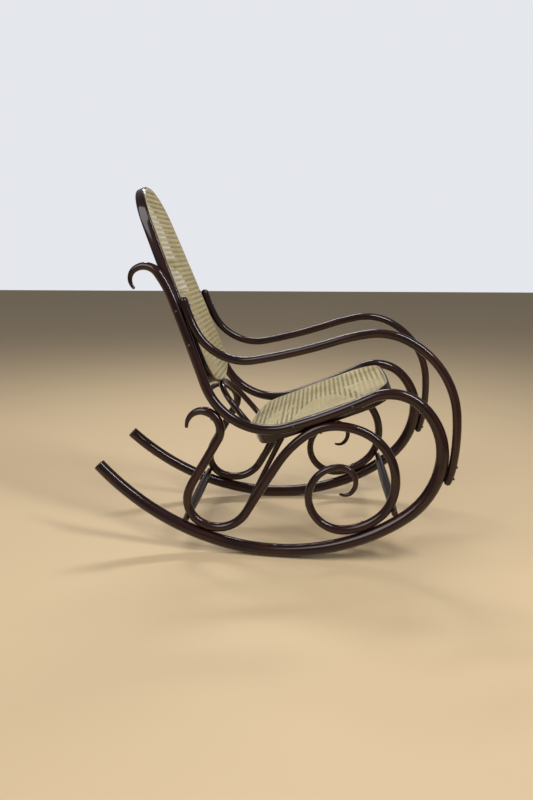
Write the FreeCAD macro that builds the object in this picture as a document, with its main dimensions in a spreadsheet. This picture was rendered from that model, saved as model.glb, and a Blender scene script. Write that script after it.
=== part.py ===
import FreeCAD, Part
import math
import os
import Sketcher

# Bentwood rocking chair. Millimetres, +Z up, the chair faces +X and is mirrored about Y = 0.
# Every long stick is a round rod bent in one plane, so each is written as the chain of bends a
# bending form would give it: a start point, a heading, then (radius, turn) pairs. The sizes live
# in the spreadsheet and the sketches and profiles take them from there.

os.makedirs("parts", exist_ok=True)
doc = FreeCAD.newDocument("RockingChair")
V = FreeCAD.Vector
Turn = FreeCAD.Rotation
Place = FreeCAD.Placement
X_AXIS, Y_AXIS, Z_AXIS = V(1, 0, 0), V(0, 1, 0), V(0, 0, 1)

# ---------------------------------------------------------------- driving dimensions
SIZES = {
    # The two side frames stand on edge, wider apart at the front than at the rear, and lean in.
    "side_forward": 29.6, "side_offset": 237.5, "side_splay": 5.05, "side_lean": 3.2,
    # Radii of the round sticks.
    "runner_radius": 18.0, "rail_radius": 15.0, "post_radius": 14.0, "hook_tip_radius": 4.0,
    "arm_radius": 12.0, "arm_tip_radius": 10.5, "scroll_radius": 13.0, "scroll_tip_radius": 4.5,
    "spiral_tip_radius": 3.5, "spiral_radius": 9.5, "brace_radius": 8.5, "brace_foot_radius": 5.0,
    # Turned stretchers, resting in the corner between each scroll and its runner.
    "stretcher_radius": 15.0, "stretcher_end_radius": 8.6, "stretcher_overhang": 9.0,
    "rear_stretcher_along": -273.2, "rear_stretcher_up": 96.3,
    "front_stretcher_along": 324.0, "front_stretcher_up": 152.8,
    # Braces: from the inner face of each rising scroll stick up to the underside of the seat.
    "brace_foot_along": -101.0, "brace_foot_up": 128.0, "brace_foot_in": 19.0,
    "brace_head_along": 2.0, "brace_head_up": 345.0, "brace_head_in": 26.0,
    # Back: a bent ring leaning back, caned on its front face.
    "back_tilt": 21.1, "back_foot_x": -156.2, "back_foot_z": 484.2,
    "back_depth": 30.0, "back_stock": 22.0, "back_round": 6.0,
    # Seat: a bent ring rising to the front, caned on its top face.
    "seat_tilt": 21.0, "seat_rear_x": -56.9, "seat_rear_z": 346.5,
    "seat_depth": 40.0, "seat_stock": 20.0, "seat_round": 5.0,
    # Cane panels and the spline beads that hold them.
    "cane_thickness": 1.6, "spline_width": 4.0, "spline_height": 2.2, "cane_margin": 5.0,
    "cane_gap": 0.2,
    # The hoop between the rear of the seat and the foot of the back.
    "hoop_radius": 9.0, "hoop_tilt": 40.6, "hoop_foot_x": -56.9, "hoop_foot_z": 342.9,
    # Round-head wood screws.
    "screw_head_radius": 4.0, "screw_head_sink": 1.5, "screw_radius": 2.0,
    "screw_length": 36.0,
}

# (start along, start up, heading) and the bends as (radius, turn): + turns up, - turns down.
# Every chain is in the plane of its side frame.
STICKS = {
    "runner": ((-539.5, 244.4, -45.15),
               [(816, 12.45), (739, 19.6), (661, 18.3), (631, 18.2), (555, 14.5), (237, 42.5),
                (182, 56.4)]),
    "rail": ((386.75, 452.08, 136.8),
             [(122, 69.8), (1547, -9.1), (191, -87.3), (10150, 1.4), (314.9, 14.8), (51.4, 85.9),
              (32.9, 110.9)]),
    "arm": ((-272.7, 725.7, -74.6),
            [(364.1, 14.1), (156.1, 70.7), (1630.3, 8.0), (618.6, -8.4), (173.6, -36.0),
             (244.9, -58.2), (580.9, -14.1), (231, -10.3)]),
    "scroll_rear": ((-269.3, 366.2, 96.0),
                    [(47, -110.6), (54, -104.8), (8513, -1.0), (158, 13.6), (75.8, 81.2),
                     (100.8, 85.5)]),
    "scroll_front": ((-95.4, 125.1, 59.9),
                     [(5124.9, -1.97), (314.4, -21.74), (144.4, -38.29), (190.3, -21.34),
                      (143.7, -38.91), (157.1, -47.9), (117.3, -27.01), (171.3, -36.29),
                      (92.2, -86.17), (90.4, -98.58), (42.3, -133.49), (27.8, -76.94)]),
    # The hoop stands between the rear of the seat and the foot of the back, in its own plane.
    "hoop": ((-93.0, 0.0, 96.0), [(297, -16), (91.4, -160), (297, -16)]),
}

# Half outlines of the two rings, from the middle of the lower edge round to the far middle;
# the last radius is worked out so that the half ends on the centre line.
LOOPS = {
    "back": [(382.6, 17.03), (61.1, 74.12), (2864.6, 8.29)],
    "seat": [(486.7, 19.11), (43.0, 63.88), (1669.0, 9.05), (89.9, 85.44)],
}

sheet = doc.addObject("Spreadsheet::Sheet", "Sizes")
sheet_row = 0


def note(alias, value):
    """Put one number in the sheet under its alias."""
    global sheet_row
    sheet_row += 1
    sheet.set(f"A{sheet_row}", alias)
    sheet.set(f"B{sheet_row}", str(value))
    sheet.setAlias(f"B{sheet_row}", alias)


for alias, value in SIZES.items():
    note(alias, value)
for stick, (start, bends) in STICKS.items():
    for alias, value in zip(("along", "up", "heading"), start):
        note(f"{stick}_{alias}", value)
    for number, (radius, turn) in enumerate(bends):
        note(f"{stick}_bend_{number}_radius", radius)
        note(f"{stick}_bend_{number}_turn", turn)
for loop, bends in LOOPS.items():
    for number, (radius, turn) in enumerate(bends):
        note(f"{loop}_loop_{number}_radius", radius)
        note(f"{loop}_loop_{number}_turn", turn)
doc.recompute()


def size(alias):
    return float(sheet.get(alias))


# ---------------------------------------------------------------- sticks bent in a plane
def side_plane(side):
    """Frame of a side: X forward along it, Z up it. side is -1 on the right, +1 on the left."""
    turn = Turn(Z_AXIS, side * size("side_splay")).multiply(Turn(X_AXIS, side * size("side_lean")))
    return Place(V(size("side_forward"), side * size("side_offset"), 0), turn)


def bent_path(name, stick, plane):
    """Sketch the chain of tangent arcs of one stick; give it back with its joint points."""
    sketch = doc.addObject("Sketcher::SketchObject", f"{name}_path")
    sketch.Placement = plane.multiply(Place(V(), Turn(X_AXIS, 90)))
    at = V(size(f"{stick}_along"), size(f"{stick}_up"), 0)
    heading = math.radians(size(f"{stick}_heading"))
    joints = [(at, heading)]
    last_end = None
    for number in range(len(STICKS[stick][1])):
        radius = size(f"{stick}_bend_{number}_radius")
        turn = math.radians(size(f"{stick}_bend_{number}_turn"))
        way = math.copysign(1, turn)
        centre = at + V(-math.sin(heading), math.cos(heading), 0) * (radius * way)
        first = heading - way * math.pi / 2
        last = first + turn
        circle = Part.Circle(centre, Z_AXIS, radius)
        arc = sketch.addGeometry(Part.ArcOfCircle(circle, min(first, last), max(first, last)), False)
        near_end, far_end = (1, 2) if way > 0 else (2, 1)
        if last_end is not None:
            sketch.addConstraint(Sketcher.Constraint("Tangent", arc - 1, last_end, arc, near_end))
        bound = sketch.addConstraint(Sketcher.Constraint("Radius", arc, radius))
        sketch.setExpression(f"Constraints[{bound}]", f"Sizes.{stick}_bend_{number}_radius")
        last_end = far_end
        heading += turn
        at = centre + V(math.sin(heading), -math.cos(heading), 0) * (radius * way)
        joints.append((at, heading))
    return sketch, joints


def bent_stick(name, stick, plane, thickness):
    """Sweep round sections along a stick; thickness maps joint number -> alias of the radius.

    The joints between two named ones get a radius mixed in proportion, so the taper is even.
    """
    sketch, joints = bent_path(name, stick, plane)
    sections = []
    known = list(thickness.items())
    for (first, thick), (last, thin) in zip(known[:-1], known[1:]):
        for joint in range(first, last + (last == known[-1][0])):
            at, heading = joints[joint]
            ring = doc.addObject("Part::Circle", f"{name}_section")
            share = (joint - first) / (last - first)
            ring.setExpression("Radius", f"Sizes.{thick} + (Sizes.{thin} - Sizes.{thick}) * {share}")
            facing = Turn(Z_AXIS, V(), V(math.cos(heading), math.sin(heading), 0), "ZXY")
            ring.Placement = sketch.Placement.multiply(Place(at, facing))
            sections.append(ring)
    rod = doc.addObject("Part::Sweep", name)
    rod.Sections = sections
    rod.Spine = (sketch, [])
    rod.Solid = True
    rod.Frenet = False
    return rod


def along_stick(stick, distance):
    """Point and heading at a distance along a stick; a negative distance counts from its end."""
    bends = range(len(STICKS[stick][1]))
    turns = [math.radians(size(f"{stick}_bend_{n}_turn")) for n in bends]
    radii = [size(f"{stick}_bend_{n}_radius") for n in bends]
    if distance < 0:
        distance += sum(radius * abs(turn) for radius, turn in zip(radii, turns))
    at = V(size(f"{stick}_along"), 0, size(f"{stick}_up"))
    heading = math.radians(size(f"{stick}_heading"))
    for radius, turn in zip(radii, turns):
        way = math.copysign(1, turn)
        part = min(distance / radius, abs(turn)) * way
        centre = at + V(-math.sin(heading), 0, math.cos(heading)) * (radius * way)
        heading += part
        at = centre + V(math.sin(heading), 0, -math.cos(heading)) * (radius * way)
        distance -= radius * abs(part)
        if distance <= 0:
            break
    return at, heading


def dome(name, stick, distance, plane, alias):
    """A ball that rounds the end of a stick."""
    ball = doc.addObject("Part::Sphere", f"{name}_dome")
    ball.setExpression("Radius", f"Sizes.{alias}")
    ball.Placement = plane.multiply(Place(along_stick(stick, distance)[0], Turn()))
    return ball


def joined(name, pieces):
    whole = doc.addObject("Part::MultiFuse", name)
    whole.Shapes = pieces
    return whole


def cut(name, base, tool):
    rest = doc.addObject("Part::Cut", name)
    rest.Base = base
    rest.Tool = tool
    return rest


# ---------------------------------------------------------------- the two side frames
SIDES = {"right": -1, "left": 1}
THICKNESS = {
    "runner": {0: "runner_radius", 6: "runner_radius", 7: "rail_radius"},
    "rail": {0: "rail_radius", 4: "post_radius", 5: "post_radius", 7: "hook_tip_radius"},
    "arm": {0: "arm_radius", 6: "arm_radius", 8: "arm_tip_radius"},
    "scroll_rear": {0: "scroll_tip_radius", 1: "scroll_radius", 6: "scroll_radius"},
    "scroll_front": {0: "scroll_radius", 8: "scroll_radius", 10: "spiral_radius",
                     12: "spiral_tip_radius"},
}
rods = {}
for side_name, side in SIDES.items():
    plane = side_plane(side)
    for stick, thickness in THICKNESS.items():
        rods[stick, side_name] = bent_stick(f"{stick}_{side_name}_rod", stick, plane, thickness)
    domes = [dome(f"arm_{side_name}_rear", "arm", 0, plane, "arm_radius"),
             dome(f"arm_{side_name}_front", "arm", -0.001, plane, "arm_tip_radius")]
    rods["arm", side_name] = joined(f"arm_{side_name}_whole", [rods["arm", side_name]] + domes)

# ---------------------------------------------------------------- back and seat rings
def loop_half(loop):
    """(radius, turn in radians) of each bend of a half outline, closed by the last radius."""
    across = heading = 0.0
    half = []
    for number in range(len(LOOPS[loop])):
        radius = size(f"{loop}_loop_{number}_radius")
        turn = math.radians(size(f"{loop}_loop_{number}_turn"))
        across += radius * (math.sin(heading + turn) - math.sin(heading))
        heading += turn
        half.append((radius, turn))
    half.append((across / math.sin(heading), math.pi - heading))
    return half


def loop_arcs(loop, offset):
    """The closed outline as arcs, moved outward by offset; X is across and Y is along."""
    half = loop_half(loop)
    at, heading = V(0, -offset, 0), 0.0
    arcs = []
    for radius, turn in half + half[::-1]:
        centre = at + V(-math.sin(heading), math.cos(heading), 0) * (radius + offset)
        circle = Part.Circle(centre, Z_AXIS, radius + offset)
        first = heading - math.pi / 2
        arcs.append(Part.ArcOfCircle(circle, first, first + turn))
        heading += turn
        at = centre + V(math.sin(heading), -math.cos(heading), 0) * (radius + offset)
    return arcs


def origin_plane(body, role):
    return next(item for item in body.Origin.OriginFeatures if item.Role == role)


def loop_body(name, loop, offsets, place, depth, into, rounding=None):
    """Pad a closed outline, or the band between two, and round its edges."""
    body = doc.addObject("PartDesign::Body", name)
    body.Placement = place
    outline = body.newObject("Sketcher::SketchObject", f"{name}_outline")
    outline.AttachmentSupport = [(origin_plane(body, "XY_Plane"), "")]
    outline.MapMode = "FlatFace"
    for offset in offsets:
        for arc in loop_arcs(loop, offset):
            outline.addGeometry(arc, False)
    pad = body.newObject("PartDesign::Pad", f"{name}_pad")
    pad.Profile = outline
    pad.setExpression("Length", f"Sizes.{depth}")
    pad.Reversed = into
    doc.recompute()
    if rounding:
        edges = [f"Edge{n + 1}" for n, edge in enumerate(pad.Shape.Edges)
                 if abs(edge.tangentAt(edge.FirstParameter).z) < 0.5]
        fillet = body.newObject("PartDesign::Fillet", f"{name}_rounding")
        fillet.Base = (pad, edges)
        fillet.setExpression("Radius", f"Sizes.{rounding}")
        body.Tip = fillet
    return body


def leaning(tilt, across):
    """Turn whose Z faces out of the cane, whose Y runs up the slope and whose X runs across."""
    angle = math.radians(tilt)
    up_slope = V(-math.sin(angle), 0, math.cos(angle))
    return Turn(across, up_slope, across.cross(up_slope), "ZXY")


back_place = Place(V(size("back_foot_x"), 0, size("back_foot_z")),
                   leaning(size("back_tilt"), Y_AXIS))
seat_place = Place(V(size("seat_rear_x"), 0, size("seat_rear_z")),
                   leaning(size("seat_tilt") - 90, Y_AXIS * -1))
rings = {}
for loop, place in (("back", back_place), ("seat", seat_place)):
    half = size(f"{loop}_stock") / 2
    cane_edge = half - size("cane_margin")
    bead_edge = cane_edge - size("spline_width")
    rings[loop] = loop_body(f"{loop}_ring_plain", loop, (half, -half), place,
                            f"{loop}_depth", True, f"{loop}_round")
    rings[loop, "cane"] = loop_body(f"{loop}_cane", loop, (bead_edge - size("cane_gap"),), place,
                                    "cane_thickness", False)
    rings[loop, "spline"] = loop_body(f"{loop}_spline", loop, (cane_edge, bead_edge), place,
                                      "spline_height", False)

# ---------------------------------------------------------------- hoop, braces, stretchers
hoop_up = leaning(size("hoop_tilt"), Y_AXIS).multVec(Y_AXIS)
hoop_place = Place(V(size("hoop_foot_x"), 0, size("hoop_foot_z")), Turn(Y_AXIS, V(), hoop_up, "XZY"))
hoop_rod = bent_stick("hoop_rod", "hoop", hoop_place, {0: "hoop_radius", 3: "hoop_radius"})
hoop_on_seat = cut("hoop_on_seat", hoop_rod, rings["seat"])
hoop_on_bead = cut("hoop_on_bead", hoop_on_seat, rings["seat", "spline"])
finished = {"back_hoop": cut("back_hoop", hoop_on_bead, rings["back"])}

for side_name, side in SIDES.items():
    plane = side_plane(side)
    foot, head = (V(size(f"brace_{end}_along"), -side * size(f"brace_{end}_in"),
                    size(f"brace_{end}_up")) for end in ("foot", "head"))
    brace = doc.addObject("Part::Cone", f"brace_{side_name}_rod")
    brace.setExpression("Radius1", "Sizes.brace_foot_radius")
    brace.setExpression("Radius2", "Sizes.brace_radius")
    brace.Height = (head - foot).Length
    brace.Placement = plane.multiply(Place(foot, Turn(Z_AXIS, head - foot)))
    finished[f"seat_brace_{side_name}"] = cut(f"seat_brace_{side_name}", brace, rings["seat"])

for end in ("rear", "front"):
    seat_point = side_plane(1).multVec(V(size(f"{end}_stretcher_along"), 0,
                                         size(f"{end}_stretcher_up")))
    reach = seat_point.y + size("stretcher_overhang")
    profile = doc.addObject("Sketcher::SketchObject", f"stretcher_{end}_profile")
    thin, thick = size("stretcher_end_radius"), size("stretcher_radius")
    corners = [V(-reach, 0, 0), V(-reach, thin, 0), V(reach, thin, 0), V(reach, 0, 0)]
    profile.addGeometry(Part.LineSegment(corners[0], corners[1]), False)
    profile.addGeometry(Part.Arc(corners[1], V(0, thick, 0), corners[2]), False)
    profile.addGeometry(Part.LineSegment(corners[2], corners[3]), False)
    profile.addGeometry(Part.LineSegment(corners[3], corners[0]), False)
    profile.Placement = Place(V(seat_point.x, 0, seat_point.z), Turn(Z_AXIS, 90))
    turned = doc.addObject("Part::Revolution", f"stretcher_{end}")
    turned.Source = profile
    turned.Axis = Y_AXIS
    turned.Base = profile.Placement.Base
    turned.Angle = 360
    turned.Solid = True
    finished[f"stretcher_{end}"] = turned

# ---------------------------------------------------------------- wood screws
def screw(name, place):
    """A round-head screw; its place has Z out of the wood and its origin on the surface."""
    shank = doc.addObject("Part::Cylinder", f"{name}_shank")
    shank.setExpression("Radius", "Sizes.screw_radius")
    shank.setExpression("Height", "Sizes.screw_length")
    shank.Placement = place.multiply(Place(V(0, 0, -size("screw_length")), Turn()))
    head = doc.addObject("Part::Sphere", f"{name}_head")
    head.setExpression("Radius", "Sizes.screw_head_radius")
    head.Angle1 = 0
    head.Placement = place.multiply(Place(V(0, 0, -size("screw_head_sink")), Turn()))
    return joined(name, [shank, head])


def along_screws(name, side, stick, distances, facing, radius):
    """Screws driven through a stick in the plane of its bends, or outward when facing is 0."""
    plane = side_plane(side)
    made = []
    for distance in distances:
        at, heading = along_stick(stick, distance)
        out = V(-math.sin(heading), 0, math.cos(heading)) * facing if facing else Y_AXIS * side
        place = Place(at + out * radius, Turn(Z_AXIS, out))
        made.append(screw(f"{name}_{stick}", plane.multiply(place)))
    return made


# (stick, distances along it, +1 for its left flank or -1 for its right, radius there)
DRIVEN = {
    "arm_screws": [("arm", (14, 46, -12, -44), 1, "arm_radius")],
    "scroll_screws": [("scroll_rear", (118.1,), -1, "scroll_radius"),
                      ("scroll_rear", (497.8,), 1, "scroll_radius"),
                      ("scroll_front", (334.5,), -1, "scroll_radius"),
                      ("scroll_front", (797.1,), -1, "scroll_radius")],
    "back_screws": [("rail", (800, 900), 0, "post_radius")],
    "seat_screws": [("rail", (203, 375), 0, "rail_radius")],
}
screws = {name: [] for name in DRIVEN}
for side_name, side in SIDES.items():
    for name, rows in DRIVEN.items():
        for stick, distances, facing, radius in rows:
            screws[name] += along_screws(f"{name}_{side_name}", side, stick, distances, facing,
                                         size(radius))
for name, made in screws.items():
    group = doc.addObject("Part::Compound", name)
    group.Links = made
    finished[name] = group

# ---------------------------------------------------------------- holes for the screws
DRILLED = {
    "arm": ("arm_screws",), "runner": ("arm_screws", "scroll_screws"),
    "rail": ("arm_screws", "scroll_screws", "back_screws", "seat_screws"),
    "scroll_rear": ("scroll_screws",), "scroll_front": ("scroll_screws",),
}
for stick, tools in DRILLED.items():
    for side_name in SIDES:
        shape = rods[stick, side_name]
        for number, tool in enumerate(tools):
            last = number == len(tools) - 1
            label = f"{stick}_{side_name}" if last else f"{stick}_{side_name}_drilled_{number}"
            shape = cut(label, shape, finished[tool])
        finished[f"{stick}_{side_name}"] = shape
finished["back_ring"] = cut("back_ring", rings["back"], finished["back_screws"])
finished["seat_ring"] = cut("seat_ring", rings["seat"], finished["seat_screws"])
for loop in ("back", "seat"):
    for piece in ("cane", "spline"):
        finished[f"{loop}_{piece}"] = rings[loop, piece]

# ---------------------------------------------------------------- checks and export
doc.recompute()
for item in doc.Objects:
    if "Invalid" in item.State or "Error" in item.State:
        raise RuntimeError(f"{item.Name} is {item.State}")
for node, item in sorted(finished.items()):
    item.Label = node
    shape = item.Shape
    if shape.isNull() or not shape.isValid():
        raise RuntimeError(f"{node} has no valid shape")
    shape.exportStep(f"parts/{node}.step")
    print(node, len(shape.Solids), round(shape.Volume / 1000, 1))
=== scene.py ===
import math

import bpy
import numpy as np
from mathutils import Matrix, Vector


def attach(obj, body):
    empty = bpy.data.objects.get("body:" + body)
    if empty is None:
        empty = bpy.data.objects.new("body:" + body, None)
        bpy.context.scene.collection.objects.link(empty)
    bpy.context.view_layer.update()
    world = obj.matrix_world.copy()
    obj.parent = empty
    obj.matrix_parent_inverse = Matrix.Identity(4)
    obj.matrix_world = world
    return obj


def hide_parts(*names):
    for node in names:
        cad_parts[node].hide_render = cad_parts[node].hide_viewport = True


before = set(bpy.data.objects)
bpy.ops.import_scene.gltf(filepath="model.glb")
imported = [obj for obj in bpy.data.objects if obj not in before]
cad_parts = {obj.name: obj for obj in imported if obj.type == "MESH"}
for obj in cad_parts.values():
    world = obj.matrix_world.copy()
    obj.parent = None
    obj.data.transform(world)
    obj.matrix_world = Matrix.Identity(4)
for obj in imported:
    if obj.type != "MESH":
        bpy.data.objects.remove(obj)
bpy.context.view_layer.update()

# ---------------------------------------------------------------- runners
# A runner and the loop at its front are one round beech rod, steamed, bent in a single plane
# and stained. It stands on edge in its side frame, which splays to the front and leans in.
SIDE_FORWARD, SIDE_OFFSET, SIDE_SPLAY, SIDE_LEAN = 0.0296, 0.2375, 5.05, 3.2
RUNNER_START = (-0.5395, 0.2444, -45.15)     # along the side, up it, heading in degrees
RUNNER_BENDS = [(0.816, 12.45), (0.739, 19.6), (0.661, 18.3), (0.631, 18.2), (0.555, 14.5),
                (0.237, 42.5), (0.182, 56.4)]          # (radius, turn in degrees)
RUNNER_THICKNESS = {0: 0.018, 6: 0.018, 7: 0.015}      # joint between bends -> radius of the rod
ROUND_SIDES = 32                                       # flats round a rod
ROUND = np.linspace(0, 2 * math.pi, ROUND_SIDES + 1)[:-1]


def side_frames():
    """Each side with its origin and its forward, across and up vectors: a turn about Z by the
    splay after a turn about X by the lean, both mirrored from one side to the other."""
    for name, side in (("right", -1), ("left", 1)):
        turn = (Matrix.Rotation(math.radians(side * SIDE_SPLAY), 3, "Z")
                @ Matrix.Rotation(math.radians(side * SIDE_LEAN), 3, "X"))
        forward, across, up = np.array(turn.transposed())
        yield name, side, np.array([SIDE_FORWARD, side * SIDE_OFFSET, 0.0]), forward, across, up


def joints_along(bends):
    """Distance along a rod to each joint: the running sum of radius times turn."""
    radius, turn = np.array(bends).T
    return np.append(0.0, np.cumsum(radius * np.abs(np.radians(turn))))


def bend_line(start, bends, distance):
    """Points and headings at distances along a chain of tangent arcs.

    On an arc of curvature c that starts at p with heading h, the point d further on is p plus
    (sin(h + c d) - sin h, cos h - cos(h + c d)) / c, and the heading there is h + c d.
    """
    radius, turn = np.array(bends).T
    curve = np.sign(turn) / radius
    joints = joints_along(bends)
    heading = math.radians(start[2]) + np.append(0.0, np.cumsum(np.radians(turn)))
    hops = np.stack([np.diff(np.sin(heading)), -np.diff(np.cos(heading))]) / curve
    corners = np.array(start[:2])[:, None] + np.append(np.zeros((2, 1)), np.cumsum(hops, 1), 1)
    arc = np.clip(np.searchsorted(joints, distance, side="right") - 1, 0, len(bends) - 1)
    now = heading[arc] + curve[arc] * (distance - joints[arc])
    return (corners[:, arc] + np.stack([np.sin(now) - np.sin(heading[arc]),
                                        np.cos(heading[arc]) - np.cos(now)]) / curve[arc]), now


def skin(name, grid, along, around, material, nodes, ring=False):
    """A closed mesh from a grid of points: each row runs round the piece, rows follow along it.

    A quad joins four neighbours. ring joins the last row to the first; otherwise a fan to the
    middle of each end row closes it. The UV map is metres along and metres round.
    """
    rows, columns = grid.shape[:2]
    points = grid.reshape(-1, 3)
    i, j = (axis.ravel() for axis in np.mgrid[:rows if ring else rows - 1, :columns])
    row, next_row, next_column = i * columns, (i + 1) % rows * columns, (j + 1) % columns
    corners = np.stack([row + j, row + next_column, next_row + next_column, next_row + j], 1)
    uv = np.stack([along[[i, i, i + 1, i + 1]], around[[j, j + 1, j + 1, j]]], 2).swapaxes(0, 1)
    corners, uv, sizes = corners.ravel(), uv.reshape(-1, 2), np.full(len(i), 4)
    if not ring:
        rim, next_rim = np.arange(columns), (np.arange(columns) + 1) % columns
        middle, last = len(points), (rows - 1) * columns
        points = np.append(points, grid[[0, -1]].mean(1), 0)
        first_fan = np.stack([np.full(columns, middle), next_rim, rim], 1)
        last_fan = np.stack([np.full(columns, middle + 1), last + rim, last + next_rim], 1)
        corners = np.concatenate([corners, first_fan.ravel(), last_fan.ravel()])
        ends = np.repeat(along[[0, -1]], 3 * columns)
        uv = np.append(uv, np.stack([ends, np.tile(np.repeat(around[rim], 3), 2)], 1), 0)
        sizes = np.append(sizes, np.full(2 * columns, 3))
    mesh = bpy.data.meshes.new(name)
    mesh.vertices.add(len(points))
    mesh.vertices.foreach_set("co", points.ravel())
    mesh.loops.add(len(corners))
    mesh.loops.foreach_set("vertex_index", corners)
    mesh.polygons.add(len(sizes))
    mesh.polygons.foreach_set("loop_start", np.cumsum(sizes) - sizes)
    mesh.polygons.foreach_set("use_smooth", np.ones(len(sizes), bool))
    mesh.update(calc_edges=True)
    mesh.uv_layers.new(name="UVMap").data.foreach_set("uv", uv.ravel())
    return place(name, mesh, material, nodes)


def place(name, mesh, material, nodes):
    """Make the mesh a piece that rides on the chair and stands for its CAD nodes."""
    mesh.validate()
    mesh.materials.append(material)
    piece = bpy.data.objects.new(name, mesh)
    bpy.context.scene.collection.objects.link(piece)
    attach(piece, "root")
    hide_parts(*nodes)
    return piece


def rod_stations(length, rounding, step=0.0035):
    """Distances along a rod, and how far its radius is drawn in at each to round its two ends.

    An end rounded over e is a quarter circle: e (1 - cos t) from the end, the radius is drawn
    in by e (1 - sin t), with t going from nearly nothing to a right angle.
    """
    quarter = np.radians(np.linspace(6, 90, 8))
    inset, drawn = 1 - np.cos(quarter), 1 - np.sin(quarter)
    middle = np.linspace(rounding[0], length - rounding[1], int(length / step))[1:-1]
    distance = np.concatenate([rounding[0] * inset, middle, length - rounding[1] * inset[::-1]])
    return distance, np.concatenate([rounding[0] * drawn, 0 * middle, rounding[1] * drawn[::-1]])


def bent_rod(name, origin, forward, up, start, bends, thickness, rounding, material, nodes,
             dome=(0, 0)):
    """A round section carried along a chain of bends in the plane of forward and up.

    The radius is mixed from joint to joint, and domes carry the rod on past its two ends.
    """
    joints = joints_along(bends)
    distance, drawn_in = rod_stations(joints[-1] + sum(dome), rounding)
    distance = distance - dome[0]
    (ahead, high), heading = bend_line(start, bends, distance)
    radius = np.interp(distance, joints, np.interp(range(len(joints)), *zip(*thickness.items())))
    radius = (radius - drawn_in)[:, None, None]
    line = (origin + ahead[:, None] * forward + high[:, None] * up)[:, None]
    inward = (np.cos(heading)[:, None] * up - np.sin(heading)[:, None] * forward)[:, None]
    grid = line + radius * (np.cos(ROUND)[:, None] * inward
                            + np.sin(ROUND)[:, None] * np.cross(forward, up))
    girth = np.linspace(0, 2 * math.pi * max(thickness.values()), ROUND_SIDES + 1)
    return skin(name, grid, distance, girth, material, nodes)


def new_material(name):
    """A node material, its shader, and a function that adds a node, sets it and wires it."""
    material = bpy.data.materials.new(name)
    material.use_nodes = True
    tree = material.node_tree

    def add(kind, wires=(), **settings):
        node = tree.nodes.new("ShaderNode" + kind)
        for key, value in settings.items():
            if key in node.inputs:
                node.inputs[key].default_value = value
            else:
                setattr(node, key, value)
        for socket, source in dict(wires).items():
            tree.links.new(source, node.inputs[socket])
        return node

    def ramp(source, *stops):
        node = add("ValToRGB", {"Fac": source})
        elements = node.color_ramp.elements
        while len(elements) < len(stops):
            elements.new(0.5)
        for element, (position, colour) in zip(elements, stops):
            element.position, element.color = position, (*colour, 1)
        return node.outputs["Color"]

    def mixed(colour, tint):
        node = add("Mix", data_type="RGBA", blend_type="MULTIPLY")
        node.inputs[0].default_value = 1.0
        tree.links.new(colour, node.inputs[6])
        tree.links.new(tint, node.inputs[7])
        return node.outputs[2]

    return material, tree.nodes["Principled BSDF"], add, ramp, mixed, tree.links.new


def lacquered_beech():
    """Dark red-brown stain over straight grain, under a thick clear gloss.

    The stain colour follows noise drawn out long and thin along the rod, darkened by a slow
    cloud; the gloss has a slight ripple, and open grain shows through it as a fainter bump.
    """
    material, shader, add, ramp, mixed, link = new_material("lacquered_beech")
    along_rod = add("UVMap", uv_map="UVMap").outputs["UV"]
    drawn_out = add("Mapping", {"Vector": along_rod}, Scale=(9, 260, 1)).outputs["Vector"]
    grain = add("TexNoise", {"Vector": drawn_out}, Scale=1.0, Detail=6.0, Roughness=0.62,
                Distortion=0.3).outputs["Fac"]
    where = add("TexCoord").outputs["Object"]
    cloud = add("TexNoise", {"Vector": where}, Scale=7.0, Detail=3.0).outputs["Fac"]
    ripple = add("TexNoise", {"Vector": where}, Scale=60.0, Detail=2.0).outputs["Fac"]
    stain = ramp(grain, (0.30, (0.007, 0.0020, 0.0018)), (0.52, (0.026, 0.0056, 0.0040)),
                 (0.75, (0.070, 0.0150, 0.0085)))
    link(mixed(stain, ramp(cloud, (0.35, (0.45, 0.42, 0.42)), (0.65, (1, 1, 1)))),
         shader.inputs["Base Color"])
    dulled = add("MapRange", {"Value": cloud}, **{"To Min": 0.24, "To Max": 0.40})
    link(dulled.outputs["Result"], shader.inputs["Roughness"])
    flow = add("Bump", {"Height": ripple}, Strength=0.06, Distance=0.001).outputs["Normal"]
    pores = add("Bump", {"Height": grain, "Normal": flow}, Strength=0.06, Distance=0.0004)
    link(pores.outputs["Normal"], shader.inputs["Normal"])
    link(flow, shader.inputs["Coat Normal"])
    shader.inputs["Coat Weight"].default_value = 1.0
    shader.inputs["Coat Roughness"].default_value = 0.06
    shader.inputs["Coat IOR"].default_value = 1.40
    shader.inputs["Specular IOR Level"].default_value = 0.12
    return material


lacquer = lacquered_beech()
for name, side, origin, forward, across, up in side_frames():
    bent_rod(f"runner_{name}_rod", origin, forward, up, RUNNER_START, RUNNER_BENDS,
             RUNNER_THICKNESS, (0.0028, 0.0005), lacquer, [f"runner_{name}"])

# ---------------------------------------------------------------- seat rails
# Each seat rail is a rod that meets the top of the runner's loop, sweeps down under the seat,
# rises as the back post and ends in a tapered hook above the shoulder.
RAIL_START = (0.38675, 0.45208, 136.8)
RAIL_BENDS = [(0.122, 69.8), (1.547, -9.1), (0.191, -87.3), (10.15, 1.4), (0.3149, 14.8),
              (0.0514, 85.9), (0.0329, 110.9)]
RAIL_THICKNESS = {0: 0.015, 4: 0.014, 5: 0.014, 7: 0.004}
for name, side, origin, forward, across, up in side_frames():
    bent_rod(f"rail_{name}_rod", origin, forward, up, RAIL_START, RAIL_BENDS, RAIL_THICKNESS,
             (0.0005, 0.0036), lacquer, [f"rail_{name}"])

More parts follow.
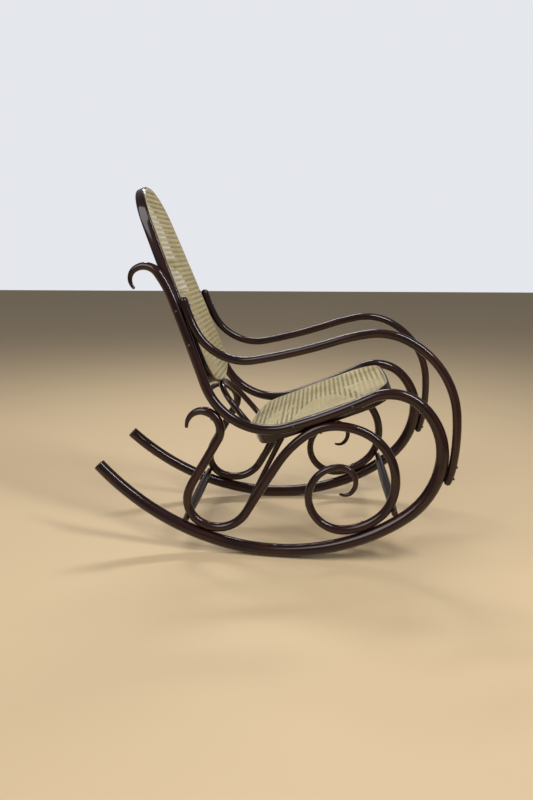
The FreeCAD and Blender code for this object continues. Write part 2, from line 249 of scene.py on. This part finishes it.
# ---------------------------------------------------------------- arms
# An arm is a thinner rod, ball-ended, screwed to the front of the post. It dips, runs forward
# as the arm rest and turns down in a wide bow to the front of the runner's loop.
ARM_START = (-0.2727, 0.7257, -74.6)
ARM_BENDS = [(0.3641, 14.1), (0.1561, 70.7), (1.6303, 8.0), (0.6186, -8.4), (0.1736, -36.0),
             (0.2449, -58.2), (0.5809, -14.1), (0.231, -10.3)]
ARM_RADIUS, ARM_TIP_RADIUS = 0.012, 0.0105
for name, side, origin, forward, across, up in side_frames():
    bent_rod(f"arm_{name}_rod", origin, forward, up, ARM_START, ARM_BENDS,
             {0: ARM_RADIUS, 6: ARM_RADIUS, 8: ARM_TIP_RADIUS}, (ARM_RADIUS, ARM_TIP_RADIUS),
             lacquer, [f"arm_{name}"], dome=(ARM_RADIUS, ARM_TIP_RADIUS))

# ---------------------------------------------------------------- scrolls
# The scrolls fill the side between seat and runner. The rear one curls over at its thin tip,
# drops to the runner and butts on the front one, which loops over and winds into a spiral.
REAR_SCROLL_START = (-0.2693, 0.3662, 96.0)
REAR_SCROLL_BENDS = [(0.047, -110.6), (0.054, -104.8), (8.513, -1.0), (0.158, 13.6),
                     (0.0758, 81.2), (0.1008, 85.5)]
REAR_SCROLL_THICKNESS = {0: 0.0045, 1: 0.013, 6: 0.013}
FRONT_SCROLL_START = (-0.0954, 0.1251, 59.9)
FRONT_SCROLL_BENDS = [(5.1249, -1.97), (0.3144, -21.74), (0.1444, -38.29), (0.1903, -21.34),
                      (0.1437, -38.91), (0.1571, -47.9), (0.1173, -27.01), (0.1713, -36.29),
                      (0.0922, -86.17), (0.0904, -98.58), (0.0423, -133.49), (0.0278, -76.94)]
FRONT_SCROLL_THICKNESS = {0: 0.013, 8: 0.013, 10: 0.0095, 12: 0.0035}
for name, side, origin, forward, across, up in side_frames():
    bent_rod(f"scroll_rear_{name}_rod", origin, forward, up, REAR_SCROLL_START,
             REAR_SCROLL_BENDS, REAR_SCROLL_THICKNESS, (0.0042, 0.0005), lacquer,
             [f"scroll_rear_{name}"])
    bent_rod(f"scroll_front_{name}_rod", origin, forward, up, FRONT_SCROLL_START,
             FRONT_SCROLL_BENDS, FRONT_SCROLL_THICKNESS, (0.0005, 0.0033), lacquer,
             [f"scroll_front_{name}"])

# ---------------------------------------------------------------- stretchers
# Two turned beech bars tie the side frames together. Each is fattest in the middle and rests
# in the corner between the scrolls and the runners.
STRETCHER_PLACES = {"rear": (-0.2732, 0.0963), "front": (0.3240, 0.1528)}
STRETCHER_END, STRETCHER_MIDDLE, STRETCHER_OVERHANG = 0.0086, 0.015, 0.009
left_origin, left_forward, left_up = next(
    (origin, forward, up) for name, side, origin, forward, across, up in side_frames()
    if name == "left")
for end, (ahead, high) in STRETCHER_PLACES.items():
    seat_x, seat_y, seat_z = left_origin + ahead * left_forward + high * left_up
    reach = seat_y + STRETCHER_OVERHANG
    distance, drawn_in = rod_stations(2 * reach, (0.003, 0.003))
    swell = STRETCHER_MIDDLE - (STRETCHER_MIDDLE - STRETCHER_END) * (distance / reach - 1) ** 2
    grid = np.stack(np.broadcast_arrays(
        seat_x + (swell - drawn_in)[:, None] * np.sin(ROUND), (distance - reach)[:, None],
        seat_z + (swell - drawn_in)[:, None] * np.cos(ROUND)), 2)
    skin(f"stretcher_{end}_bar", grid, distance,
         np.linspace(0, 2 * math.pi * STRETCHER_MIDDLE, ROUND_SIDES + 1), lacquer,
         [f"stretcher_{end}"])

# ---------------------------------------------------------------- seat braces
# A slim tapered brace on the inside of each scroll props the seat ring from below.
BRACE_FOOT, BRACE_HEAD = (-0.101, 0.128, 0.019), (0.002, 0.345, 0.026)
BRACE_RADII = {0: 0.005, 1: 0.0085}
BRACE_BEND = 200.0              # so wide a bend that the brace is straight
for name, side, origin, forward, across, up in side_frames():
    foot, head = (origin + ahead * forward + high * up - side * inset * across
                  for ahead, high, inset in (BRACE_FOOT, BRACE_HEAD))
    reach = float(np.linalg.norm(head - foot))
    axis = (head - foot) / reach
    level = np.cross(across, axis) / np.linalg.norm(np.cross(across, axis))
    bent_rod(f"seat_brace_{name}_rod", foot, axis, level, (0, 0, 0),
             [(BRACE_BEND, math.degrees(reach / BRACE_BEND))], BRACE_RADII, (0.003, 0.0005),
             lacquer, [f"seat_brace_{name}"])

# ---------------------------------------------------------------- seat and back rings
# Seat and back are flat rings of thicker stock, bent to shape and rounded over on all four
# edges. Both lean: the back away from the sitter, the seat up to the front.
RING_BENDS = {"back": [(0.3826, 17.03), (0.0611, 74.12), (2.8646, 8.29)],
              "seat": [(0.4867, 19.11), (0.043, 63.88), (1.669, 9.05), (0.0899, 85.44)]}
RING_FOOT = {"back": (-0.1562, 0, 0.4842), "seat": (-0.0569, 0, 0.3465)}
RING_TILT = {"back": 21.1, "seat": 21.0}
RING_STOCK = {"back": (0.022, 0.030, 0.006), "seat": (0.020, 0.040, 0.005)}   # wide, deep, round
RING_STATIONS, CORNER_STEPS = 420, 7


def ring_frame(loop):
    """Origin and the vectors across, up the slope and out of the cane."""
    tilt = math.radians(RING_TILT[loop])
    if loop == "back":
        across, slope = np.array([0, 1, 0]), np.array([-math.sin(tilt), 0, math.cos(tilt)])
    else:
        across, slope = np.array([0, -1, 0]), np.array([math.cos(tilt), 0, math.sin(tilt)])
    return np.array(RING_FOOT[loop]), across, slope, np.cross(across, slope)


def ring_line(loop, count):
    """Points, outward normals and distances round a closed outline.

    The half outline is the chain of bends and one more, whose turn makes up half a circle and
    whose radius, the width so far over the sine of the heading, ends it on the middle line.
    """
    half = RING_BENDS[loop]
    turned = math.radians(sum(turn for radius, turn in half))
    (wide, _), _ = bend_line((0, 0, 0), half, joints_along(half)[-1:])
    half = half + [(wide[0] / math.sin(turned), 180 - math.degrees(turned))]
    bends = half + half[::-1]
    distance = np.linspace(0, joints_along(bends)[-1], count + 1)
    line, heading = bend_line((0, 0, 0), bends, distance[:-1])
    return line.T, np.stack([np.sin(heading), -np.cos(heading)], 1), distance


def carried_round(loop, profile, count):
    """A grid: each point (out, proud) of the profile carried round the outline of the ring."""
    origin, across, slope, face = ring_frame(loop)
    line, outward, distance = ring_line(loop, count)
    flat = line[:, None] + outward[:, None] * profile[:, :1]
    grid = (origin + flat[..., :1] * across + flat[..., 1:] * slope
            + profile[:, 1:] * face)
    edge = np.linalg.norm(profile - np.roll(profile, -1, 0), axis=1)
    return grid, distance, np.append(0.0, np.cumsum(edge))


def rounded_bar(wide, deep, rounding):
    """Outline of a bar with quarter-round corners, from its caned face down, clockwise as seen
    along the ring: the corner centres plus the rounding times (cos t, sin t)."""
    quarters = np.array([[180], [90], [0], [270]])
    t = np.radians(quarters + np.linspace(0, 90, CORNER_STEPS))[:, ::-1]
    centre = np.array([[-1, -1], [-1, 1], [1, 1], [1, -1]]) * [wide / 2 - rounding,
                                                                deep / 2 - rounding]
    corners = centre[:, None] + rounding * np.stack([np.cos(t), np.sin(t)], 2)
    return corners.reshape(-1, 2) - [0, deep / 2]


for loop in ("back", "seat"):
    bar = rounded_bar(*RING_STOCK[loop])
    grid, distance, girth = carried_round(loop, bar, RING_STATIONS)
    skin(f"{loop}_ring_bar", grid, distance, girth, lacquer,
         [f"{loop}_ring"], ring=True)

# ---------------------------------------------------------------- hoop
# A small hoop carries the foot of the back. Its feet are lapped into the rear of the seat ring
# and its crown is let into the lower edge of the back ring.
HOOP_FOOT, HOOP_TILT = (-0.0569, 0, 0.3429), 40.6
HOOP_RADIUS = 0.009
HOOP_START, HOOP_BENDS = (-0.093, 0.0, 96.0), [(0.297, -16), (0.0914, -160), (0.297, -16)]
hoop_tilt = math.radians(HOOP_TILT)
bent_rod("back_hoop_rod", np.array(HOOP_FOOT), np.array([0.0, 1, 0]),
         np.array([-math.sin(hoop_tilt), 0, math.cos(hoop_tilt)]), HOOP_START, HOOP_BENDS,
         {0: HOOP_RADIUS, 3: HOOP_RADIUS}, (0.001, 0.001), lacquer, ["back_hoop"])

# ---------------------------------------------------------------- woven cane
# Both panels are rattan cane in the six-way pattern: pairs of strands up and across, woven,
# and a diagonal each way that goes over one pair and under the other, leaving open octagons.
CANE_PITCH, CANE_WIDE, CANE_THICK, CANE_APART = 0.015, 0.0025, 0.00045, 0.0016
CANE_MIDDLE, CANE_PAIR_RISE, CANE_CROSS_RISE = 0.0008, 0.00040, 0.00055
CANE_TUCK = {"back": 0.004, "seat": 0.003}     # how far outside the ring's middle line it ends
CANE_REACH, OUTLINE_STATIONS = 60, 720         # pitches each way, and points of the outline


def cane_strands(loop):
    """Points, quads, strand numbers and UVs of every strand of a panel.

    A strand lies at u across times its place plus u along times t, with t cut to the panel's
    outline. Its height is the rise times a sine of its place over the pitch, so that it passes
    over and under in turn. The section is a flat rectangle carried along t.
    """
    line, outward, _ = ring_line(loop, OUTLINE_STATIONS)
    outline = line + outward * CANE_TUCK[loop]
    pitch, slant = CANE_PITCH, CANE_PITCH / math.sqrt(2)
    number = np.arange(-CANE_REACH, CANE_REACH + 1)
    wave = 2 * math.pi / pitch
    pair = np.stack([number * pitch - CANE_APART, number * pitch + CANE_APART], 1).ravel()
    lean = np.tile([1, -1], len(number))
    # direction, places to the left of it, step along it, and height at (x, y) of each strand
    families = [
        ((0, 1), pair, pitch / 4, lambda x, y: CANE_PAIR_RISE * lean[:, None] * np.sin(wave * y)),
        ((1, 0), pair, pitch / 4, lambda x, y: CANE_PAIR_RISE * lean[:, None] * np.sin(wave * x)),
        ((1, 1), (number + 0.5) * slant, slant / 2,
         lambda x, y: CANE_CROSS_RISE * np.cos(wave * x)),
        ((1, -1), (number + 0.5) * slant, slant / 2,
         lambda x, y: -CANE_CROSS_RISE * np.cos(wave * x)),
    ]
    points, quads, strand_of, uvs, count, strands = [], [], [], [], 0, 0
    for direction, places, step, height in families:
        along = np.array(direction) / np.linalg.norm(direction)
        left = np.array([-along[1], along[0]])
        side = outline @ left - places[:, None]
        crosses = side * np.roll(side, -1, 1) < 0
        share = side / (side - np.roll(side, -1, 1) + 1e-12)
        run = outline @ along
        crossing = run + share * (np.roll(run, -1) - run)
        first = np.where(crosses, crossing, np.inf).min(1)
        last = np.where(crosses, crossing, -np.inf).max(1)
        kept = crosses.any(1)
        stations = np.arange(-CANE_REACH * pitch, CANE_REACH * pitch, step)
        t = np.clip(stations, np.where(kept, first, 0)[:, None], np.where(kept, last, 0)[:, None])
        flat = places[:, None, None] * left + t[..., None] * along
        rise = CANE_MIDDLE + height(flat[..., 0], flat[..., 1])
        corner = np.array([[1, -1], [1, 1], [-1, 1], [-1, -1]]) / 2
        section = flat[:, :, None] + corner[:, :1] * CANE_WIDE * left
        proud = rise[..., None] + corner[:, 1] * CANE_THICK
        solid = np.concatenate([section, proud[..., None]], 3)
        moved = np.diff(t, axis=1) > 1e-6
        strand, station = np.nonzero(moved)
        here = (strand * len(stations) + station) * 4
        j = np.arange(4)
        walls = np.stack([here[:, None] + j, here[:, None] + (j + 1) % 4,
                          here[:, None] + 4 + (j + 1) % 4, here[:, None] + 4 + j], 2)
        rows = np.flatnonzero(moved.any(1))
        start = (rows * len(stations) + moved[rows].argmax(1)) * 4
        end = (rows * len(stations) + len(stations) - 1 - moved[rows, ::-1].argmax(1)) * 4
        caps = np.concatenate([start[:, None] + j[::-1], end[:, None] + j])
        faces = np.concatenate([walls.reshape(-1, 4), caps])
        used, faces = np.unique(faces, return_inverse=True)
        faces = faces.reshape(-1, 4)
        points.append(solid.reshape(-1, 3)[used])
        strand_of.append(strands + used // (4 * len(stations)))
        uvs.append(np.stack([t.repeat(4, 1).ravel()[used], np.array([1, 1, 0, 0])[used % 4]], 1))
        quads.append(faces + count)
        count, strands = count + len(used), strands + len(places)
    return (np.concatenate(points), np.concatenate(quads), np.concatenate(strand_of),
            np.concatenate(uvs))


def woven_cane():
    """Pale straw cane: each strand a little lighter, browner or greener than the next, with
    fine fibres along it, a rounded waxy skin and darker patches where it is joined or worn."""
    material, shader, add, ramp, mixed, link = new_material("woven_cane")
    strand = add("Attribute", attribute_name="strand").outputs["Fac"]
    place_on_strand = add("UVMap", uv_map="UVMap").outputs["UV"]
    drawn_out = add("Mapping", {"Vector": place_on_strand}, Scale=(40, 6, 1)).outputs["Vector"]
    fibre = add("TexNoise", {"Vector": drawn_out}, Scale=1.0, Detail=4.0).outputs["Fac"]
    where = add("TexCoord").outputs["Object"]
    age = add("TexNoise", {"Vector": where}, Scale=9.0, Detail=3.0).outputs["Fac"]
    straw = ramp(strand, (0.0, (0.62, 0.53, 0.30)), (0.5, (0.74, 0.65, 0.40)),
                 (0.85, (0.66, 0.575, 0.35)), (1.0, (0.56, 0.52, 0.29)))
    fibres = ramp(fibre, (0.3, (0.80, 0.77, 0.70)), (0.62, (1, 1, 1)))
    worn = ramp(age, (0.3, (0.86, 0.83, 0.76)), (0.6, (1, 1, 1)))
    link(mixed(mixed(straw, fibres), worn), shader.inputs["Base Color"])
    waxy = add("MapRange", {"Value": fibre}, **{"To Min": 0.38, "To Max": 0.62})
    link(waxy.outputs["Result"], shader.inputs["Roughness"])
    ridges = add("Bump", {"Height": fibre}, Strength=0.25, Distance=0.0004)
    link(ridges.outputs["Normal"], shader.inputs["Normal"])
    return material


cane = woven_cane()
for loop in ("back", "seat"):
    points, quads, strand_of, uv = cane_strands(loop)
    origin, across, slope, face = ring_frame(loop)
    mesh = bpy.data.meshes.new(f"{loop}_cane_weave")
    mesh.vertices.add(len(points))
    mesh.vertices.foreach_set("co", (origin + points @ np.stack([across, slope, face])).ravel())
    mesh.loops.add(quads.size)
    mesh.loops.foreach_set("vertex_index", quads.ravel())
    mesh.polygons.add(len(quads))
    mesh.polygons.foreach_set("loop_start", np.arange(0, quads.size, 4))
    mesh.polygons.foreach_set("use_smooth", np.ones(len(quads), bool))
    mesh.update(calc_edges=True)
    mesh.uv_layers.new(name="UVMap").data.foreach_set("uv", uv[quads.ravel()].ravel())
    shade = np.random.default_rng(7).random(strand_of.max() + 1)[strand_of]
    mesh.attributes.new("strand", "FLOAT", "POINT").data.foreach_set("value", shade)
    place(f"{loop}_cane_weave", mesh, cane, [f"{loop}_cane"])

# ---------------------------------------------------------------- splines
# A half-round reed, glued into a groove in the ring, holds the edge of each cane panel.
SPLINE_WIDE, SPLINE_HIGH, SPLINE_MIDDLE = 0.004, 0.0022, {"back": 0.004, "seat": 0.003}


def reed():
    """The same straw as the cane, a shade browner, in long streaks along the reed."""
    material, shader, add, ramp, mixed, link = new_material("spline_reed")
    along_reed = add("UVMap", uv_map="UVMap").outputs["UV"]
    drawn_out = add("Mapping", {"Vector": along_reed}, Scale=(25, 900, 1)).outputs["Vector"]
    fibre = add("TexNoise", {"Vector": drawn_out}, Scale=1.0, Detail=4.0).outputs["Fac"]
    link(ramp(fibre, (0.3, (0.36, 0.27, 0.15)), (0.5, (0.50, 0.40, 0.235)),
              (0.7, (0.60, 0.50, 0.31))), shader.inputs["Base Color"])
    waxy = add("MapRange", {"Value": fibre}, **{"To Min": 0.35, "To Max": 0.60})
    link(waxy.outputs["Result"], shader.inputs["Roughness"])
    ridges = add("Bump", {"Height": fibre}, Strength=0.3, Distance=0.0003)
    link(ridges.outputs["Normal"], shader.inputs["Normal"])
    return material


spline_reed = reed()
for loop, middle in SPLINE_MIDDLE.items():
    t = np.radians(np.linspace(180, 0, 11))
    crown = np.stack([np.sign(np.cos(t)) * np.abs(np.cos(t)) ** 0.8 * SPLINE_WIDE / 2 + middle,
                      np.sin(t) ** 0.8 * SPLINE_HIGH], 1)
    grid, distance, girth = carried_round(loop, crown, RING_STATIONS)
    skin(f"{loop}_spline_reed", grid, distance, girth, spline_reed,
         [f"{loop}_spline"], ring=True)

# ---------------------------------------------------------------- wood screws
# Slotted round-head screws of dulled steel hold the rods to each other and the rings to the
# rails. Distance is along the rod, from its far end if negative, and flank is +1 for its left,
# -1 for its right and 0 for its outer face.
SCREW_HEAD, SCREW_SINK, SCREW_SLOT_WIDE, SCREW_SLOT_DEEP = 0.004, 0.0015, 0.0009, 0.0009
SCREW_SEAT, SLOT_TURN = 0.0012, 0.6      # depth of the flat underside, and the slot's angle
RAIL, ARM = (RAIL_START, RAIL_BENDS), (ARM_START, ARM_BENDS)
REAR_SCROLL = (REAR_SCROLL_START, REAR_SCROLL_BENDS)
FRONT_SCROLL = (FRONT_SCROLL_START, FRONT_SCROLL_BENDS)
SCREWS = {
    "arm_screws": [(ARM, distance, 1, 0.012) for distance in (0.014, 0.046, -0.012, -0.044)],
    "scroll_screws": [(REAR_SCROLL, 0.1181, -1, 0.013), (REAR_SCROLL, 0.4978, 1, 0.013),
                      (FRONT_SCROLL, 0.3345, -1, 0.013), (FRONT_SCROLL, 0.7971, -1, 0.013)],
    "back_screws": [(RAIL, 0.800, 0, 0.014), (RAIL, 0.900, 0, 0.014)],
    "seat_screws": [(RAIL, 0.203, 0, 0.015), (RAIL, 0.375, 0, 0.015)],
}


def screw_head(centre, outward, slot_along):
    """A dome cut by a slot, as rows of chords that each run over the dome and back beneath it.

    At b of the rim's radius from the middle a chord is as long as the root of 1 - b squared,
    the dome is as high as the sphere there, and within the slot it is lower by the slot's
    depth.
    """
    rim = math.sqrt(SCREW_HEAD ** 2 - SCREW_SINK ** 2)
    slot = SCREW_SLOT_WIDE / 2 / rim
    half = np.concatenate([[slot], [slot * 1.1], np.sin(np.linspace(0.25, math.pi / 2, 7))])
    b = np.concatenate([-half[::-1], half])
    a = np.linspace(-1, 1, 13)
    x, y = rim * a * np.sqrt(np.maximum(1 - b ** 2, 1e-6))[:, None], rim * b[:, None] + 0 * a
    z = np.sqrt(np.maximum(SCREW_HEAD ** 2 - x ** 2 - y ** 2, SCREW_SINK ** 2)) - SCREW_SINK
    z = z - SCREW_SLOT_DEEP * (np.abs(b) < slot * 1.05)[:, None]
    over, under = np.stack([x, y, z], 2), np.stack([x, y, 0 * z - SCREW_SEAT], 2)[:, ::-1]
    local = np.concatenate([over, under], 1)
    side = np.cross(outward, slot_along)
    return centre + local @ np.stack([slot_along, side, outward])


def dulled_steel():
    """Bare steel gone brown-grey, with cloudy tarnish and fine scratches in its roughness."""
    material, shader, add, ramp, mixed, link = new_material("dulled_steel")
    where = add("TexCoord").outputs["Object"]
    tarnish = add("TexNoise", {"Vector": where}, Scale=700.0, Detail=5.0).outputs["Fac"]
    link(ramp(tarnish, (0.35, (0.05, 0.038, 0.030)), (0.6, (0.15, 0.13, 0.11))),
         shader.inputs["Base Color"])
    scratched = add("MapRange", {"Value": tarnish}, **{"To Min": 0.28, "To Max": 0.55})
    link(scratched.outputs["Result"], shader.inputs["Roughness"])
    pitted = add("Bump", {"Height": tarnish}, Strength=0.2, Distance=0.0002)
    link(pitted.outputs["Normal"], shader.inputs["Normal"])
    shader.inputs["Metallic"].default_value = 1.0
    return material


steel = dulled_steel()
for group, driven in SCREWS.items():
    heads = []
    for name, side, origin, forward, across, up in side_frames():
        for (start, bends), distance, flank, radius in driven:
            reach = distance if distance > 0 else distance + joints_along(bends)[-1]
            (ahead, high), heading = bend_line(start, bends, np.array([reach]))
            heading = heading[0]
            if flank:
                outward = flank * (math.cos(heading) * up - math.sin(heading) * forward)
            else:
                outward = side * across
            slot_along = (math.cos(heading + SLOT_TURN) * forward
                          + math.sin(heading + SLOT_TURN) * up)
            slot_along = slot_along - outward * (slot_along @ outward)
            slot_along /= np.linalg.norm(slot_along)
            heads.append(screw_head(origin + ahead[0] * forward + high[0] * up
                                    + radius * outward, outward, slot_along))
    for number, grid in enumerate(heads):
        rows, columns = grid.shape[:2]
        skin(f"{group}_head_{number}", grid, np.linspace(0, 0.008, rows),
             np.linspace(0, 0.02, columns + 1), steel, [group])

# ---------------------------------------------------------------- studio
# A plain pale floor under soft light: a sky all round, a broad lamp high on the left behind the
# camera, and two narrow strips that draw a thin bright line along each rod.
FLOOR_HALF, SKY_AS_LIGHT, SKY_AS_SEEN = 12, 0.22, 0.93
floor_mesh = bpy.data.meshes.new("studio_floor")
floor_mesh.from_pydata([(x * FLOOR_HALF, y * FLOOR_HALF, 0)
                        for x, y in ((-1, -1), (1, -1), (1, 1), (-1, 1))], [], [(0, 1, 2, 3)])
floor = bpy.data.objects.new("studio_floor", floor_mesh)
bpy.context.scene.collection.objects.link(floor)
floor_paint, shader, *_ = new_material("pale_floor")
shader.inputs["Base Color"].default_value = (0.74, 0.56, 0.34, 1)
shader.inputs["Roughness"].default_value = 0.6
floor_mesh.materials.append(floor_paint)

# The sky is pale where the camera sees it and dimmer as a light, so the lacquer stays dark.
sky = bpy.data.worlds.new("studio_sky")
sky.use_nodes = True
sky_nodes = sky.node_tree.nodes
path, level = sky_nodes.new("ShaderNodeLightPath"), sky_nodes.new("ShaderNodeMapRange")
level.inputs["To Min"].default_value = SKY_AS_LIGHT
level.inputs["To Max"].default_value = SKY_AS_SEEN
sky.node_tree.links.new(path.outputs["Is Camera Ray"], level.inputs["Value"])
sky.node_tree.links.new(level.outputs["Result"], sky_nodes["Background"].inputs["Strength"])
sky_nodes["Background"].inputs["Color"].default_value = (0.84, 0.86, 0.90, 1)
bpy.context.scene.world = sky
bpy.context.scene.view_settings.view_transform = "Standard"


def lamp(name, position, target, size, power, colour=(1, 1, 1)):
    """An area lamp, long and wide as size, facing its target."""
    light = bpy.data.lights.new(name, "AREA")
    light.shape, light.size, light.size_y = "RECTANGLE", *size
    light.energy, light.color = power, colour
    fitting = bpy.data.objects.new(name, light)
    bpy.context.scene.collection.objects.link(fitting)
    fitting.location = position
    aim = Vector(target) - Vector(position)
    fitting.rotation_euler = aim.to_track_quat("-Z", "Y").to_euler()


lamp("broad_lamp", (-2.2, -2.4, 2.9), (0, 0, 0.4), (2.4, 2.4), 75, (1.0, 0.98, 0.95))
lamp("strip_over_front", (1.6, -1.2, 2.6), (0, 0, 0.5), (0.25, 1.6), 45)
lamp("strip_over_back", (-0.4, 1.8, 2.7), (0, 0, 0.5), (1.6, 0.25), 35)

# The camera stands at the chair's right, a little below the top of the back, and looks down.
CAMERA_AT, CAMERA_YAW, CAMERA_DOWN, CAMERA_LENS = (0.1273, -1.9453, 0.8615), -4.401, 13.117, 28.95
camera_data = bpy.data.cameras.new("camera")
camera_data.sensor_fit = "VERTICAL"
camera_data.sensor_height = 36.0
camera_data.lens = CAMERA_LENS
camera = bpy.data.objects.new("camera", camera_data)
bpy.context.scene.collection.objects.link(camera)
camera.location = CAMERA_AT
yaw, down = math.radians(CAMERA_YAW), math.radians(CAMERA_DOWN)
looking = Vector((math.sin(yaw) * math.cos(down), math.cos(yaw) * math.cos(down), -math.sin(down)))
camera.rotation_euler = looking.to_track_quat("-Z", "Y").to_euler()
bpy.context.scene.camera = camera
